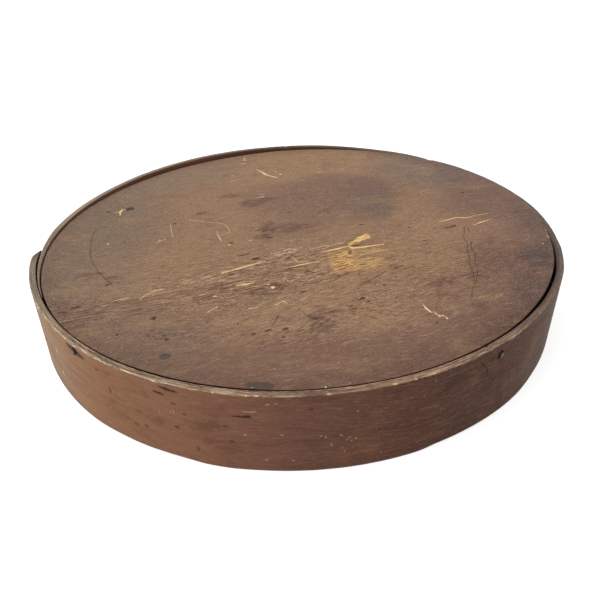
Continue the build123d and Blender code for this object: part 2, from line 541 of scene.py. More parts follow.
def head_rings(half_width, half_height, thickness, seed, lift):
    """Rings of a hammered head from its crown down to its underside, as (out, side, up)."""
    rings = []
    for share, rise in head_profile:
        ring = []
        for i in range(fastener_count):
            u, v = polar(1.0, 360 * i / fastener_count)
            rough = 1 + 0.09 * bumpy(u * 1.3 + seed, v * 1.3, 4.0)
            dent = 0.16 * thickness * bumpy(u * share * 2 + seed, v * share * 2, 7.0) if rise > 0.4 else 0.0
            side = u * half_width * share * rough
            up = v * half_height * share * rough
            ring.append((lift + thickness * rise + dent, side, up))
        rings.append(ring)
    return rings


def nail_rings(seed, turn):
    """A cut nail along -out, its oval head turned a little."""
    rings = head_rings(nail_half_width, nail_half_height, nail_head_thickness, seed, seat_gap)
    rings = [[(o, *turned(s, u, turn)) for o, s, u in ring] for ring in rings]
    for out, half in ((seat_gap, nail_root / 2), (-nail_length, nail_tip / 2)):
        rings.append([(out, side, up) for side, up in square_ring(half, fastener_count)])
    return rings


def turned(side, up, angle):
    """A point of the face turned by an angle in degrees."""
    point = Matrix.Rotation(radians(angle), 2) @ Vector((side, up))
    return point.x, point.y


def tack_rings(seed, grip):
    """A tack through a depth of wood, its point bent down behind it."""
    rings = head_rings(tack_head_radius, tack_head_radius, tack_head_thickness, seed, seat_gap)
    half = tack_shank / 2
    behind = grip + seat_gap
    for out in (seat_gap, -behind + 0.2):
        rings.append([(out, side, up) for side, up in square_ring(half, fastener_count)])
    slope = tack_leg_thickness / tack_shank
    rings.append([(-behind - half - up * slope, side, up) for side, up in square_ring(half, fastener_count)])
    for drop, thin in ((2.0, 1.0), (tack_leg_length * 0.8, 0.8), (tack_leg_length, 0.4)):
        ring = []
        for side, up in square_ring(half, fastener_count):
            out = -behind - tack_leg_thickness / 2 - up * slope * thin
            ring.append((out, side * thin, half - drop))
        rings.append(ring)
    return rings


def fasteners(name, kinds):
    """One mesh of several fasteners. kinds is (rings, point, angle, height) of each. The first
    rings are the head, from its crown."""
    points = []
    crowns = []
    faces = []
    for rings, point, angle, height in kinds:
        first = len(points)
        way = polar(1.0, angle)
        for number, ring in enumerate(rings):
            for out, side, up in ring:
                x = point.x + way.x * out - way.y * side
                y = point.y + way.y * out + way.x * side
                points.append((x, y, height + up))
                crowns.append((max(0.0, 1.0 - 0.3 * number), 0.0, 0.0))
        faces += [tuple(first + i for i in face) for face in loft(rings)]
    return mesh_object(name, points, faces, crowns)


def lid_nail_set():
    """The five nails that hold the lid board."""
    kinds = []
    drop = lid_board_radius * sin(radians(lid_board_tilt))
    for number, (angle, share, turn) in enumerate(lid_nails):
        rise = drop * cos(radians(angle - lid_board_high_angle))
        height = lid_high - lid_board_sunk + rise - share * lid_board_thickness
        reach = lid_radius + round_the_ring(rim_outward, angle)
        kinds.append((nail_rings(number * 3.7, turn), polar(reach, angle), angle, height))
    return kinds


def base_nail_set():
    """The five nails that hold the base board."""
    kinds = []
    for number, (angle, turn) in enumerate(base_nails):
        rings = nail_rings(20 + number * 2.3, turn)
        kinds.append((rings, polar(base_radius, angle), angle, base_board_thickness / 2))
    return kinds


def lap_tack_set(shape, wear, low, high):
    """Two columns of tacks through a lap, seated on its worn faces."""
    kinds = []
    for column in tack_columns:
        length = shape.lead + column * shape.overlap
        point, angle, grip = shape.tack_place(length)
        for row in tack_rows:
            height = low + row * (high - low)
            outside = wear.outward(shape.free_along(length), height, angle, True)
            inside = wear.outward(radians(angle) * shape.radius, height, angle, False)
            rings = tack_rings(40 + column * 9 + row * 5, grip + outside - inside)
            kinds.append((rings, point + polar(outside, angle), angle, height))
    return kinds


def srgb(red, green, blue):
    """Linear colour from the 0 to 255 values that a picture shows."""
    linear = []
    for value in (red, green, blue):
        share = value / 255
        linear.append(share / 12.92 if share <= 0.04045 else ((share + 0.055) / 1.055) ** 2.4)
    return (*linear, 1.0)


def most(masks):
    """The strongest of several masks, each joined on as soon as it is made, so that few wait at once."""
    strongest = None
    for mask in masks:
        strongest = mask if strongest is None else strongest.math("MAXIMUM", mask)
    return strongest


class Shade:
    """Builds one material, or one group of nodes that a material uses."""

    def __init__(self, name, grouped=False):
        if grouped:
            self.tree = bpy.data.node_groups.new(name, "ShaderNodeTree")
            self.tree.interface.new_socket("Place", in_out="INPUT", socket_type="NodeSocketVector")
            self.tree.interface.new_socket("Mask", in_out="OUTPUT", socket_type="NodeSocketFloat")
        else:
            self.material = bpy.data.materials.new(name)
            self.material.use_nodes = True
            self.tree = self.material.node_tree
            self.tree.nodes.clear()

    def node(self, kind, values, **settings):
        """A node with its settings made and its inputs filled, by name or number."""
        made = self.tree.nodes.new(kind)
        for key, value in settings.items():
            setattr(made, key, value)
        for key, value in values.items():
            if isinstance(value, Channel):
                self.tree.links.new(value.socket, made.inputs[key])
            else:
                made.inputs[key].default_value = value
        return made

    def add(self, kind, values, output=0, **settings):
        """One output of a new node, by name or number."""
        return Channel(self, self.node(kind, values, **settings).outputs[output])

    def place(self):
        """Object coordinates in millimetres."""
        return self.add("ShaderNodeTexCoord", {}, "Object").scaled(1 / MM)

    def attribute(self, name):
        """A vector that the mesh carries."""
        return self.add("ShaderNodeAttribute", {}, "Vector", attribute_name=name)

    def strip(self):
        """Place along, up and into a band, in millimetres."""
        return self.attribute("strip").scaled(1 / MM)

    def finish(self, colour, roughness, height, distance=0.0004, specular=0.06):
        """Ends the material in one shader with a bump."""
        values = {"Base Color": colour, "Roughness": roughness, "Specular IOR Level": specular}
        shader = self.node("ShaderNodeBsdfPrincipled", values)
        bump = self.node("ShaderNodeBump", {"Height": height, "Distance": distance, "Strength": 0.6})
        self.tree.links.new(bump.outputs[0], shader.inputs["Normal"])
        self.node("ShaderNodeOutputMaterial", {"Surface": Channel(self, shader.outputs[0])})
        return self.material


class Channel:
    """A value, place or colour that a node gives, and the nodes that can follow it."""

    def __init__(self, shade, socket):
        self.shade = shade
        self.socket = socket

    def math(self, operation, other=0.0):
        """Sum, product or the like with another value."""
        return self.shade.add("ShaderNodeMath", {0: self, 1: other}, operation=operation)

    def __add__(self, other):
        return self.math("ADD", other)

    def __sub__(self, other):
        return self.math("SUBTRACT", other)

    def __mul__(self, other):
        return self.math("MULTIPLY", other)

    def __abs__(self):
        return self.math("ABSOLUTE")

    def vector(self, operation, other, output=0):
        return self.shade.add("ShaderNodeVectorMath", {0: self, 1: other}, output, operation=operation)

    def scaled(self, factor):
        return self.shade.add("ShaderNodeVectorMath", {0: self, "Scale": factor}, operation="SCALE")

    def axes(self):
        """The three parts of a vector."""
        parts = self.shade.node("ShaderNodeSeparateXYZ", {0: self}).outputs
        return [Channel(self.shade, part) for part in parts]

    def ease(self, low, high, to_low=0.0, to_high=1.0):
        """Smooth step of a value from low to high."""
        values = {"Value": self, "From Min": low, "From Max": high, "To Min": to_low, "To Max": to_high}
        return self.shade.add("ShaderNodeMapRange", values, interpolation_type="SMOOTHSTEP")

    def near(self, centre, low, high):
        """Smooth step of the distance from a centre."""
        return abs(self - centre).ease(low, high)

    def mix(self, a, b):
        """Colour from a to b by this share."""
        return self.shade.add("ShaderNodeMix", {0: self, 6: a, 7: b}, 2, data_type="RGBA")

    def tint(self, mask, strength, tone):
        """This colour changed to a tone of 0 to 255 values where a mask is."""
        return (mask * strength).mix(self, srgb(*tone))

    def stations(self, stops):
        """Colour between stations of (value, tone)."""
        low, high = stops[0][0], stops[-1][0]
        share = self.shade.add("ShaderNodeMapRange", {"Value": self, "From Min": low, "From Max": high})
        node = self.shade.node("ShaderNodeValToRGB", {0: share})
        elements = node.color_ramp.elements
        while len(elements) < len(stops):
            elements.new(0.5)
        for element, (place, tone) in zip(elements, stops):
            element.position = (place - low) / (high - low)
            element.color = srgb(*tone)
        return Channel(self.shade, node.outputs[0])

    def noise(self, scale, detail=2.0, roughness=0.5, output="Fac"):
        """Noise from 0 to 1 with features of about 1 / scale."""
        values = {"Vector": self, "Scale": scale, "Detail": detail, "Roughness": roughness}
        return self.shade.add("ShaderNodeTexNoise", values, output)

    def wander(self, scale, amount):
        """The place, strayed by noise of an amount in millimetres."""
        stray = self.noise(scale, output="Color").vector("SUBTRACT", (0.5, 0.5, 0.5))
        return self.vector("ADD", stray.scaled(amount * 2))

    def grain(self, angle):
        """Coordinates that wave a little and have the grain's direction first."""
        values = {"Vector": self.wander(0.012, 9.0), "Rotation": (0, 0, radians(angle))}
        return self.shade.add("ShaderNodeMapping", values, vector_type="TEXTURE")

    def drawn(self, length, scale, seed, detail=2.0, roughness=0.6):
        """Noise with features of about 1 / scale, drawn out along the grain by a length."""
        values = {0: self, 1: (1 / length, 1, 1), 2: (seed, seed, seed)}
        stretched = self.shade.add("ShaderNodeVectorMath", values, operation="MULTIPLY_ADD")
        return stretched.noise(scale, detail, roughness)

    def offset(self, x, y, angle, size=1.0):
        """How far a place lies from (x, y) along a direction in degrees, in units of a size."""
        way = polar(1 / size, angle)
        return self.vector("DOT_PRODUCT", (way.x, way.y, 0), "Value") - (way.x * x + way.y * y)

    def plus_square(self, other):
        """Sum of this square and another."""
        values = {0: self, 1: self, 2: other * other}
        return self.shade.add("ShaderNodeMath", values, operation="MULTIPLY_ADD")

    def blot(self, x, y, long, high, angle, softness):
        """Mask of an ellipse with its centre and radii given."""
        reach = self.offset(x, y, angle, long).plus_square(self.offset(x, y, angle + 90, high))
        return reach.ease((1 + softness) ** 2, (1 - softness) ** 2)

    def patch(self, x, y, long, high, angle, softness):
        """Mask of a rectangle with its centre and half sides given."""
        reach = abs(self.offset(x, y, angle, long)).math("MAXIMUM", abs(self.offset(x, y, angle + 90, high)))
        return reach.ease(1 + softness, 1 - softness)

    def segments(self, points, width, softness, pointed):
        """Masks of the straight stretches of a line, half its width given, with pointed ends if asked."""
        last = len(points) - 2
        for i, (a, b) in enumerate(zip(points, points[1:])):
            half = hypot(b[0] - a[0], b[1] - a[1]) / 2
            angle = degrees(atan2(b[1] - a[1], b[0] - a[0]))
            middle = ((a[0] + b[0]) / 2, (a[1] + b[1]) / 2)
            along = self.offset(*middle, angle)
            past = (abs(along) - half).math("MAXIMUM")
            gap = past.plus_square(self.offset(*middle, angle + 90))
            if pointed and i == 0:
                gap = gap * along.ease(-half, half * 0.6, 5.0, 1.0)
            if pointed and i == last:
                gap = gap * along.ease(half, -half * 0.6, 5.0, 1.0)
            yield gap.ease((width + softness) ** 2, max(width - softness, 0.0) ** 2)

    def group(self, name, make):
        """Strongest of the masks that make(place) draws, in a node group of their own."""
        inner = Shade(name, grouped=True)
        mask = most(make(inner.add("NodeGroupInput", {})))
        inner.node("NodeGroupOutput", {0: mask})
        return self.shade.add("ShaderNodeGroup", {0: self}, node_tree=inner.tree)

    def blots(self, name, places, softness):
        """Mask of many ellipses, each a centre, radii and an angle."""
        return self.group(name, lambda place: (place.blot(*row, softness) for row in places))

    def strokes(self, name, lines, softness, pointed=False):
        """Mask of many lines, each half a width and points."""
        return self.group(name, lambda place: (
            mask for width, points in lines for mask in place.segments(points, width, softness, pointed)))

    def chewed(self, noise, bite):
        """A soft mask with its edge and inside eaten by noise."""
        return (self + (noise - 0.5) * bite).ease(0.35, 0.75)


# Marks are rows of (x, y, radius along, radius across, angle), and strokes are rows of
# (half width, points)

# Gouges in the lid board that bared pale wood, with their depth as the second value
gouges = [
    (0.95, 0.22, [(18.2, -38.4), (28.1, -35.1), (38.6, -31.2)]),
    (0.95, 0.22, [(38.2, -31.4), (41.2, -34.4), (46.4, -34.3), (64.5, -31)]),
    (0.85, 0.2, [(-52.8, -62), (-39.2, -55.2), (-24.7, -48.8)]),
    (0.45, 0.12, [(111.4, 1.2), (119.2, 4.2), (127.2, 7.8), (135, 6), (141.2, 9.2)]),
    (0.5, 0.12, [(136.3, -7.7), (144.6, -2.5), (150.8, 0.3)]),
    (0.5, 0.12, [(-9.3, -59.1), (2, -56), (15.5, -52.1)]),
    (0.7, 0.15, [(-148, 58), (-148.6, 51.5), (-147.2, 44.5)]),
    (0.6, 0.15, [(-152.5, 49.5), (-148.5, 52.5), (-144.5, 57)]),
    (0.8, 0.15, [(-41.2, -79.4), (-35, -78.6), (-29.7, -76.9)]),
]
gouge_spots = [(-16.8, -84.7, 1.2, 1.5, 10), (-54.6, -92.2, 1.5, 0.6, 0), (-20, -80.5, 1, 0.5, 30)]

# Strokes of the wedge torn beside them
wedge_lines = [
    (0.8, [(38.8, -29.6), (42, -25.5), (45.5, -21.5)]), (1.6, [(45, -22.5), (49, -18), (53.4, -14.6)]),
    (1.5, [(46, -24), (50.5, -21.5), (54.6, -18.6)]),
]

# Thin pale scratches and pale spots on the lid board
pale_scratches = [
    (0.06, [(-87.4, 29.7), (-79.8, 26.2), (-72, 23.1), (-63.1, 21.1), (-57.4, 17.3), (-53.5, 10.1),
        (-51.7, 2.5), (-56, -0.8), (-62.3, -2)]),
    (0.1, [(-62.3, 5.2), (-60.2, -3.7)]), (0.45, [(-60.2, -3.7), (-57.3, -12)]),
    (0.06, [(-100.9, 20.4), (-98.7, 9.6), (-96.1, -1)]),
    (0.25, [(-106.8, -10.2), (-104.2, -6.5), (-100.8, -4.1)]),
    (0.55, [(-50, 174.4), (-49.3, 170.5), (-48.6, 166.6)]), (0.5, [(-50.2, 166.4), (-47, 165.7)]),
    (0.9, [(-52, 155.6), (-47.6, 156.8)]), (0.35, [(-59.4, 123.9), (-56, 123.9)]),
    (0.25, [(-57.8, 108.1), (-56.6, 110.9), (-51.7, 113.1)]),
    (0.25, [(10.4, -33.6), (17.2, -30.5), (24.7, -28.7), (34.8, -25.8)]),
    (0.2, [(141.2, 9.2), (152.4, 11.5)]),
    (0.25, [(-16.1, -38.4), (-9.4, -37.9), (-3.3, -34.1), (1.6, -33.6)]),
    (0.35, [(-30.6, 74.7), (-27.9, 74.8)]), (0.9, [(-31.2, 68.6), (-27.2, 69.4)]),
    (0.35, [(-18.8, -37.4), (-12.2, -35)]), (0.35, [(-16.6, -40.7), (-8.6, -37), (-0.5, -36.3)]),
    (0.3, [(-12.3, -30.3), (-0.5, -32.4)]), (0.3, [(-9.3, -33.8), (-4.1, -30.4)]),
    (0.3, [(-3.5, -43.6), (0.6, -51.5)]), (0.35, [(-15.1, -106.3), (-10, -102.1), (-7.6, -104.7)]),
    (0.3, [(-57.4, -111), (-52.4, -105.7)]), (0.3, [(-32.2, -109.4), (-26.2, -108.2)]),
    (0.3, [(0.9, -101.9), (4.8, -99.9)]), (0.4, [(-97.8, -82.7), (-95.3, -80.9), (-90.5, -79.6)]),
    (0.2, [(-104, -91.5), (-101, -86.5), (-97.8, -82.7)]), (0.3, [(-77.5, -74), (-70.5, -71.3)]),
    (0.3, [(-120.5, -92.3), (-112.5, -89)]), (0.2, [(82.8, -124.5), (84.1, -126.7), (85.1, -128.1)]),
    (0.2, [(87.1, -127.6), (88.3, -129.1), (89.3, -131.6)]),
]
pale_spots = [
    (-144.6, -8.6, 0.8, 1, 0), (-50.5, -19.6, 0.8, 1, 0), (-17.5, 129, 0.7, 0.9, 0), (46, 125, 0.6, 1, 0),
    (-116.5, -91, 1, 0.5, 0), (177.5, -43, 0.5, 0.8, 0), (-35, -13.5, 1.4, 0.5, 0),
    (-106, -5.5, 0.9, 0.6, 0), (-12.3, 120.9, 1.2, 1.2, 0),
]

# Brighter ones, scraped down to fresh wood
bright_scratches = [
    (0.6, [(-35.7, 136.4), (-31.7, 131.8), (-28.7, 126.7), (-26.7, 122.5), (-22.3, 118.5), (-18.5, 114.9),
        (-14.8, 112.4)]),
    (1, [(-30.5, 129.5), (-28.7, 126.7), (-26.7, 122.5), (-22.3, 118.5)]),
    (0.5, [(77.6, -114.9), (78.6, -119), (80.2, -122.6), (81.4, -124)]),
]
bright_spots = [
    (83.4, -124.8, 0.6, 0.4, 0), (85.1, -128, 0.8, 0.7, 0), (87.1, -127.7, 0.6, 0.5, 0),
    (89, -131, 0.6, 0.7, 0), (12.4, -189, 0.5, 0.5, 0),
]

# Places on the lid board with many pale flecks
pale_clusters = [
    (-8, -36, 10.5, 3.8, 12), (-50, -98, 15, 6, 15), (-4, -98, 12, 5.2, 20), (-92, -81, 12, 2.2, 17),
    (30, 122, 18, 10.5, 0), (-60, -60, 18, 4.5, 18), (8, -72, 19.5, 3.8, 14), (86, -130, 3.8, 3, -40),
    (46, -106, 6, 3, 20), (70, -24, 19.5, 3, 14),
]

# Thin dark lines on the lid board, short dents, and fainter lines
dark_lines = [
    (0.3, [(129, -8.9), (126.5, -20), (124, -26.6), (123.9, -32), (124.8, -36.1), (122, -46.2), (121, -56),
        (118.3, -67.7), (118, -79.1), (115.8, -91.9), (111.6, -101.8), (108.7, -111.5)]),
    (0.3, [(131, -10.4), (130.6, -17.6)]),
    (0.3, [(128.4, -33.9), (126.2, -40.2), (125.4, -47.8), (126.2, -52.9), (122.5, -65.8), (123, -72.8),
        (119.6, -83.7), (116.3, -91.9)]),
    (0.35, [(-16.5, -129.4), (-14.7, -124.4), (-12.7, -118.9)]),
]
dark_dents = [
    (0.35, [(67.1, -67.7), (69.7, -65.6)]), (0.35, [(70.9, -65.3), (73.5, -65.1)]),
    (0.4, [(73.6, -68.4), (77.2, -67.8)]), (0.35, [(78.3, -66.1), (80.8, -68.2)]),
    (0.3, [(-31.5, -43.5), (-27.5, -42.2)]), (0.3, [(-43, -38), (-38.5, -36.3)]),
    (0.3, [(-22, -10.8), (-18.5, -10.2)]), (0.3, [(39, -104.5), (42.5, -103)]),
    (0.3, [(115, -9.8), (121, -7.6)]), (0.3, [(-120, -94), (-116, -91.5)]),
]
faint_lines = [
    (0.5, [(2.5, -116), (6, -122), (10.2, -124.5), (13.5, -131.3)]),
    (0.5, [(4, -127.2), (8.4, -123.3), (14, -122.7)]),
    (0.5, [(12.9, -119.3), (19.2, -117.6), (23.7, -115.2)]), (0.5, [(16.2, -126.2), (21.4, -122.3)]),
    (0.5, [(6.9, -131.7), (11.3, -126.8)]),
    (0.5, [(-160.5, 19), (-160.6, 8), (-158.7, -6.5), (-153.9, -25.8), (-148.5, -39.1), (-140.8, -53.2),
        (-132.2, -64.4), (-127.8, -69.8)]),
    (0.4, [(-91, -50.5), (-74, -47.5), (-60, -45)]), (0.5, [(150, -32), (158, -39), (166, -43)]),
    (0.5, [(-158.7, -6.5), (-153.9, -25.8), (-148.5, -39.1), (-140.8, -53.2), (-132.2, -64.4)]),
    (0.9, [(40.9, -88.3), (50.7, -79.6), (59.7, -71.5)]),
]

# Dark spots and smears on the lid board, and places with many dark specks
dark_spots = [
    (-141.5, 57, 3.6, 3.6, 20), (-158.5, 52, 2.2, 1.2, 10), (-98, 23, 1.3, 1.3, 0),
    (-30, -43.5, 3.2, 1.5, 20), (-37, -36, 3, 0.8, 25), (-45, -64.5, 2.2, 0.9, 10),
    (-90.8, -115.3, 1.5, 2, 0), (-110, -132, 1, 1.2, 0), (-79, -139, 1.2, 1.6, 0),
    (-27.8, -137.5, 1.6, 0.8, 30), (-18.8, -134.2, 2.2, 0.9, 20), (-8.5, -133.5, 2.2, 1.1, 30),
    (-9.5, -142, 1.2, 0.9, 0), (-37.5, -125.3, 0.8, 0.8, 0), (-144, -99, 3, 1.2, 20),
    (-151, -105, 2.6, 0.9, 10), (87.3, -5.8, 1.1, 0.9, 0), (118, -9, 5, 0.8, 12), (122, -6.5, 1.5, 0.8, 10),
    (52, 3.8, 2, 0.8, 5), (143.3, 55, 1.1, 1.6, 0), (82.4, -135.1, 0.9, 0.8, 0), (3, -92, 2.4, 0.9, 15),
    (95, -29, 3, 0.6, 10), (-130, -71, 2.2, 1, 30), (41, -103.5, 1.3, 1.2, 0), (44, -108, 1.3, 1, 0),
    (33, -112, 1.4, 0.8, 30), (-49, -16.5, 1.8, 1.1, 0), (-78.5, 41, 5, 0.6, 12),
    (-22.5, -41, 1.4, 0.8, 20), (-20, -10.6, 2.2, 0.9, 5), (-24.2, 2.9, 1.8, 0.7, 0),
    (-5, 34, 1.6, 0.6, 10), (20.3, 29.5, 1.4, 0.6, 0), (27.1, 28.6, 1.4, 0.6, 0),
    (56.8, -88.9, 1.6, 0.7, 15), (66, -78.9, 1, 0.6, 0), (-40.3, -37.1, 2, 0.6, 25),
]
dark_clusters = [
    (72, -67.5, 8, 2.6, 5), (118, -8, 8, 2.5, 12), (-22, 3, 8, 8, 0), (24, 28.5, 6, 2.2, 0),
    (-32, -42, 10, 4, 20), (-20, -136, 14, 4, 18), (40, -106, 12, 4, 25), (14, -128, 12, 6, 10),
    (10, -142, 6, 6, 0), (-148, -96, 12, 5, 20), (38, -118, 14, 5, 20), (-80, -132, 8, 10, 0),
    (-150, 52, 12, 6, 10), (5, -80, 30, 5, 14),
]

# Purple and grey blots on the lid board
purple_blots = [
    (-57, 74, 8, 4.2, -8), (-36, 58, 9, 5.5, 8), (-28, 63.5, 7, 2.6, 10), (-8, 5, 18, 5, 5),
    (-22, 7, 5, 8, 0), (-24, -9, 6, 4.5, 0), (-52, -80, 8, 3.4, 20), (-22, -88, 11, 4, 10),
    (1, -58, 9, 3, 10), (118.5, -81, 4.6, 4.4, 0), (107, -117.5, 3.4, 2, -10), (157, -60, 4, 3.4, 0),
    (-146, -58, 7, 3.2, 10), (-131, -62, 5, 2, 20), (12, -132, 8, 5, 0), (141, -38, 3.6, 2, -30),
    (94, -88, 9, 3.5, 20), (14, -120, 10, 3, 15),
]
grey_blots = [(-77.3, -155.7, 3, 2.8, 0), (-22.1, -185.2, 7.6, 2.9, -8)]

# Rubbed stretch and chips of the lid board's edge
rubbed_edge = [(0.5, [(132.2, -137.2), (140.3, -129.2), (148.4, -120)])]
edge_chips = [(185, -33, 1.1, 1.9, -10), (187.5, -22, 1.3, 1, 0)]

# Places on the lid board where lines of late wood show, and where it is worn, with a strength
late_wood_places = [
    (-116, -100, 44, 10, 17), (-66, -82, 46, 10, 17), (-18, -68, 36, 10, 17), (-142, -120, 14, 7, 17),
]
worn_places = [(-12, -63, 66, 27, 15, 1), (22, -80, 100, 60, 12, 0.45), (-70, -70, 80, 30, 15, 0.3)]

# Broad tones of the lid board, each a mark with its colour, strength and softness
# The grey veils at the left, back and right are partly patina and partly a painted sheen reflection
board_tones = [
    (-190, 20, 75, 140, 0, (123, 106, 91), 0.85, 0.5), (-110, 125, 70, 36, 35, (137, 117, 100), 0.7, 0.5),
    (-75, 60, 40, 30, 0, (151, 119, 94), 0.4, 0.6), (20, 135, 80, 42, 0, (159, 127, 97), 0.7, 0.5),
    (28, 62, 62, 46, 0, (130, 101, 87), 0.85, 0.35), (62, 66, 20, 38, 0, (118, 97, 85), 0.7, 0.5),
    (64, 40, 12, 14, 0, (119, 103, 87), 0.5, 0.6), (128, 118, 50, 40, -45, (128, 110, 101), 0.85, 0.5),
    (160, 80, 28, 50, 0, (113, 96, 91), 0.7, 0.5), (175, 0, 50, 85, 0, (125, 96, 86), 0.8, 0.5),
    (120, -10, 28, 22, 0, (159, 124, 97), 0.6, 0.6), (128, -102, 56, 58, 30, (113, 84, 75), 0.85, 0.5),
    (172, -62, 14, 27, -10, (85, 74, 74), 0.85, 0.5), (146, -104, 13, 17, -40, (93, 78, 75), 0.7, 0.6),
    (30, -182, 160, 38, 0, (121, 91, 77), 0.85, 0.5), (-110, -140, 56, 38, -25, (120, 97, 83), 0.85, 0.5),
    (-5, 5, 32, 16, 5, (131, 100, 85), 0.6, 0.5), (40, -80, 70, 45, 0, (157, 122, 92), 0.55, 0.5),
    (85, -50, 40, 25, 10, (155, 123, 91), 0.5, 0.5), (-45, -95, 38, 20, 15, (133, 102, 84), 0.5, 0.5),
    (-60, -30, 60, 40, 0, (153, 121, 93), 0.4, 0.5), (184, 0, 14, 34, 0, (109, 90, 81), 0.7, 0.6),
]
board_ground = (151, 119, 92)
dark_wood = (80, 40, 8)
pale_wood = (224, 200, 174)

# How grimy the lid board's edge is, at angles round it
edge_grime = [
    (20, 0), (60, 0.6), (85, 0.2), (110, 0.2), (170, 0.3), (205, 0.5), (235, 0.4), (245, 0.8), (262, 0.5),
    (275, 0.7), (300, 0.7), (315, 1), (327, 0.4), (345, 0.4),
]
grime_tone = (94, 70, 60)

# Colour of the lid band's outside at angles round it, the front at -90
# Its stain, with painted light on the left and painted shade on the right
band_colours = [
    (-172, (152, 132, 112)), (-154, (168, 137, 110)), (-142, (172, 136, 105)), (-134, (168, 126, 94)),
    (-126, (162, 117, 86)), (-118, (157, 113, 85)), (-110, (154, 109, 84)), (-102, (144, 100, 81)),
    (-92, (129, 90, 75)), (-82, (119, 82, 68)), (-72, (108, 74, 61)), (-62, (100, 70, 58)),
    (-52, (101, 71, 58)), (-44, (109, 79, 65)), (-30, (109, 80, 67)), (0, (110, 84, 72)),
    (60, (120, 90, 74)), (120, (132, 98, 78)), (180, (128, 98, 80)), (218, (130, 104, 84)),
]

# Colour of the lid band's rim at the same angles
rim_colours = [
    (-176, (122, 112, 98)), (-155, (130, 117, 101)), (-145, (143, 125, 103)), (-120, (141, 119, 97)),
    (-104, (146, 121, 99)), (-88, (124, 100, 85)), (-78, (138, 107, 86)), (-66, (136, 108, 90)),
    (-55, (127, 100, 84)), (-45, (120, 96, 84)), (-35, (112, 94, 84)), (-25, (104, 91, 86)),
    (-12, (101, 91, 86)), (0, (98, 90, 86)), (15, (122, 107, 98)), (30, (120, 107, 101)),
    (45, (114, 101, 97)), (60, (108, 94, 90)), (95, (98, 84, 78)), (112, (136, 116, 102)),
    (135, (146, 128, 112)), (152, (148, 132, 118)), (165, (160, 142, 124)), (180, (134, 118, 102)),
    (218, (126, 114, 98)),
]

# Colour of the lid band's inside, darker at depths further below its rim
inside_depth_colours = [(6, (92, 60, 48)), (3.5, (112, 78, 64)), (1.4, (126, 90, 74)), (0.4, (146, 114, 90))]

# Marks on the lid band's outside, with their angle and height as the place
band_dark_marks = [
    (226.8, 51.4, 7.6, 1.6, -9), (248.2, 51.8, 4.6, 0.9, -6), (246.2, 47.6, 2.8, 0.7, -8),
    (260.2, 40.3, 3.6, 0.55, 0), (261.2, 40.6, 1.8, 0.9, 0),
]
band_stains = [
    (303, 38, 4.5, 13, 12), (307.5, 20, 3, 15, 8), (313, 32, 8, 7, 30), (322, 26, 5, 16, 10),
    (330, 34, 6, 14, 0), (297, 46, 8, 4, 0),
]
band_brown_marks = [
    (240, 16.5, 1.9, 1.1, -20), (252.1, 11.8, 0.9, 1.6, 0), (242.3, 18, 1.1, 1.1, 0),
    (235.2, 35.5, 1.1, 1.9, 0), (248.7, 42.3, 1.4, 0.8, 0), (248.7, 24.8, 1.4, 0.9, 0),
    (257.4, 32.4, 1.6, 0.7, 0), (304.1, 11, 0.9, 1.7, 0), (314.8, 43.4, 1.9, 0.9, 0),
    (271.3, 46, 0.7, 1.1, 0), (232.8, 47, 1.4, 0.9, 0), (241.2, 28, 2.3, 0.6, -10),
    (250.5, 36, 1.2, 0.9, 0), (258.2, 21.5, 1.4, 0.8, 0), (297, 8, 2.2, 0.8, 20), (303.9, 47.8, 2, 1.1, 30),
]
band_dark_lines = [(0.45, [(301.2, 49.3), (302.5, 44.2), (303.2, 37.9)])]
band_pale_marks = [
    (261.6, 44.2, 3.6, 0.5, 4), (228.5, 8.2, 1, 0.6, 30), (245.7, 32, 0.3, 1.5, 0),
    (248.5, 36, 0.3, 1.7, 0), (247.9, 35, 0.3, 1, 0), (266.5, 28.1, 1, 0.5, 0), (268.1, 8.8, 0.7, 0.5, 0),
    (263.7, 8.9, 1, 0.6, 15), (272.7, 26.3, 0.8, 0.4, 0), (274.4, 19.2, 0.6, 0.6, 0),
    (276.5, 12.9, 0.6, 0.5, 0), (275.9, 25.6, 1.2, 0.4, -30), (264.6, 49.8, 1.2, 0.4, 20),
    (265.9, 50.5, 1, 0.3, 0), (278.6, 41.5, 0.6, 0.6, 0), (226.9, 18.6, 0.9, 0.5, 40),
    (237.5, 35.4, 0.8, 0.4, 0), (260.6, 27.3, 0.8, 0.7, 0), (273.5, 25.2, 0.5, 0.7, 0),
    (277.3, 23.2, 0.9, 0.5, 25), (278.3, 22, 0.8, 0.6, -30), (277.7, 20.6, 0.6, 0.5, 0),
    (276.9, 22, 0.4, 0.6, 0),
]
band_bright_marks = [(217.3, 34.8, 1.7, 0.6, -70), (217.7, 17.6, 1.8, 0.6, -70)]
pale_fleck = (200, 164, 140)

# Chips in the outer edge of the lid band's rim: angle, half length
rim_chips = [
    (261.3, 0.5), (263, 0.9), (274.1, 0.9), (256, 0.6), (284.6, 1.4), (288.2, 0.8), (291.5, 1.2),
]

# The base board's grain runs at this angle to +X
base_grain_angle = 75.0

# Floor: half its side and its level, just under the box
floor_half = 4000.0
floor_level = -0.1

# Light, in metres: an even sky and soft lamps of (name, place, size, watts)
sky_strength = 0.5
lamps = [("key", (-1.1, -0.5, 1.5), 1.6, 16.0), ("top", (0.1, 0.5, 2.0), 2.0, 12.0)]
lamp_aim = (0, 0, 0.03)

# Camera, fitted to the photograph
camera_place = (0.93, -440.4, 272.33)
camera_right = (0.999118, -0.022718, -0.035318)
camera_up = (0.041994, 0.540503, 0.840293)
camera_forward = (0.0, 0.841035, -0.540981)
camera_lens = 37.6
camera_sensor = 36.0


